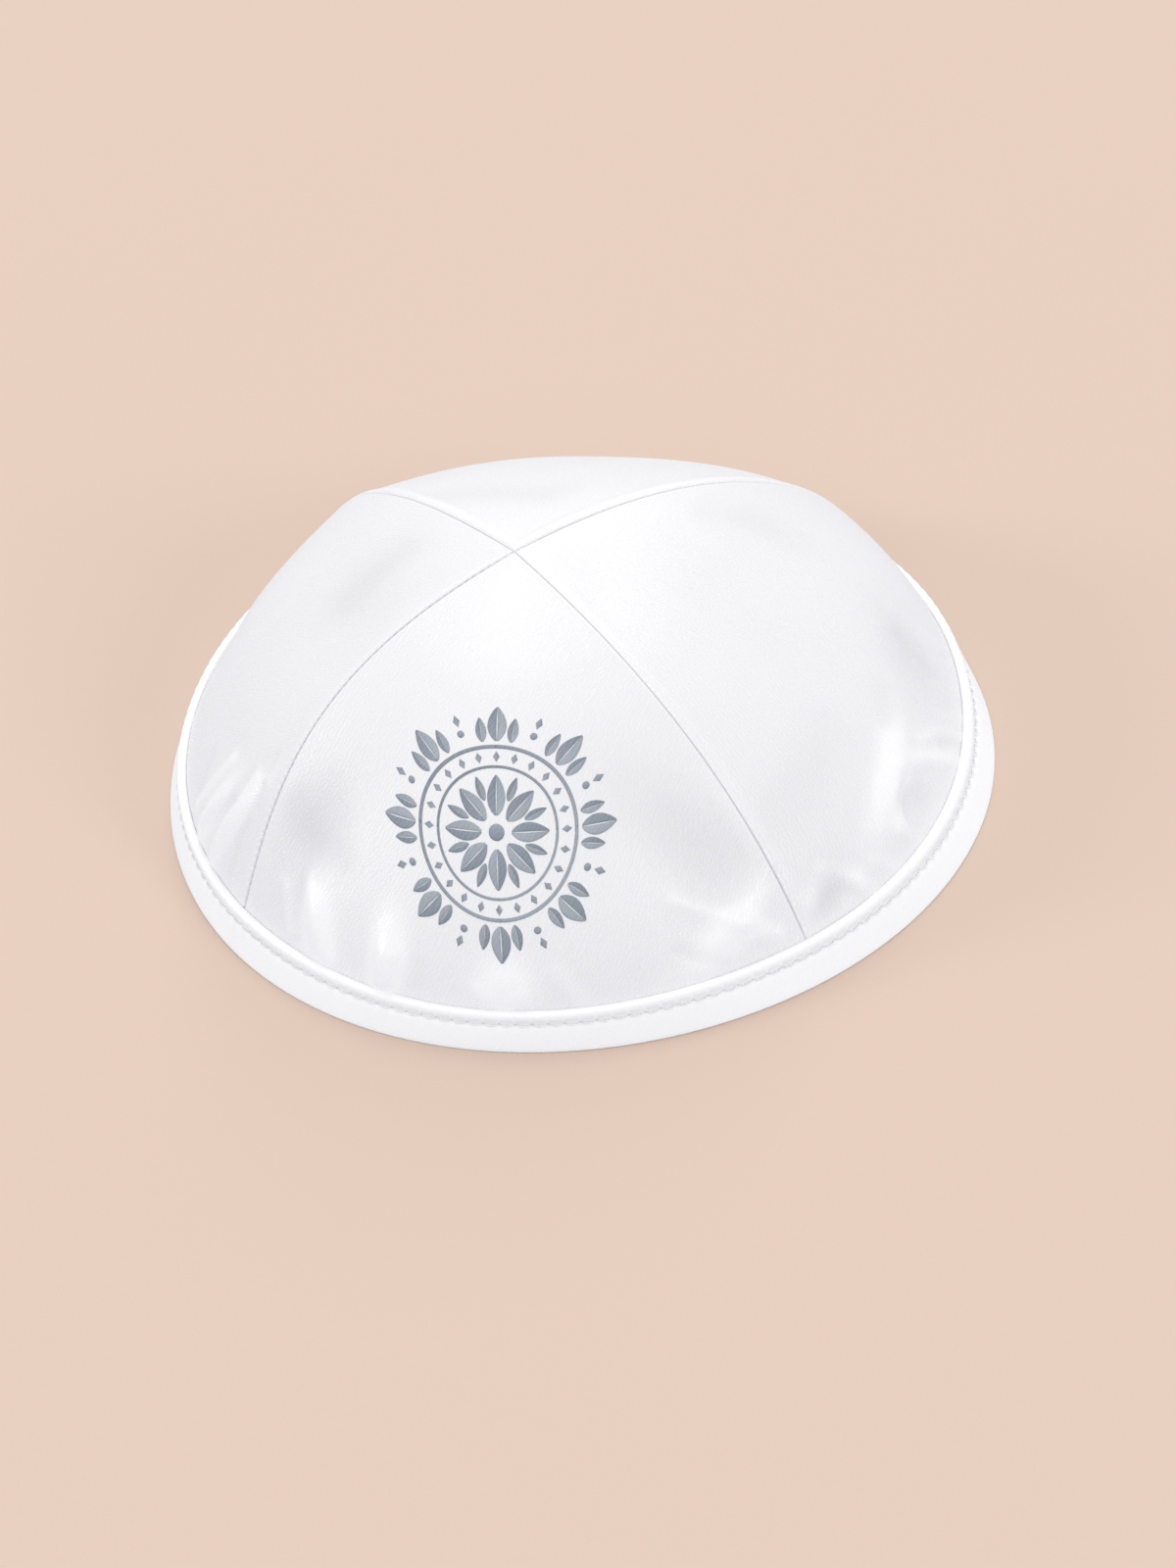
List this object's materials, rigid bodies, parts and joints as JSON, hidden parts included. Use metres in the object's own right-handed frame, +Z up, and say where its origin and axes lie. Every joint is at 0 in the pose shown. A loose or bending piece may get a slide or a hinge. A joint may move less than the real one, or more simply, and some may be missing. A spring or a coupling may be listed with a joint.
{
  "type": "kippah skullcap",
  "caption": "Soft domed satin skullcap of sewn panels meeting at the crown, with a folded binding round its open rim.",
  "frame": {"origin": "middle of the rim, on the surface that the cap rests on", "axes": "+Z up through the crown, -Y towards the front panel, +X towards the viewer's right"},
  "size_m": [0.1696, 0.1698, 0.0579],
  "materials": {
    "satin": "soft white satin",
    "binding_satin": "soft white satin tape"
  },
  "bodies": {
    "root": {"front_panel": "satin", "right_panel": "satin", "back_panel": "satin", "left_panel": "satin", "rim_binding": "binding_satin"}
  },
  "joints": []
}
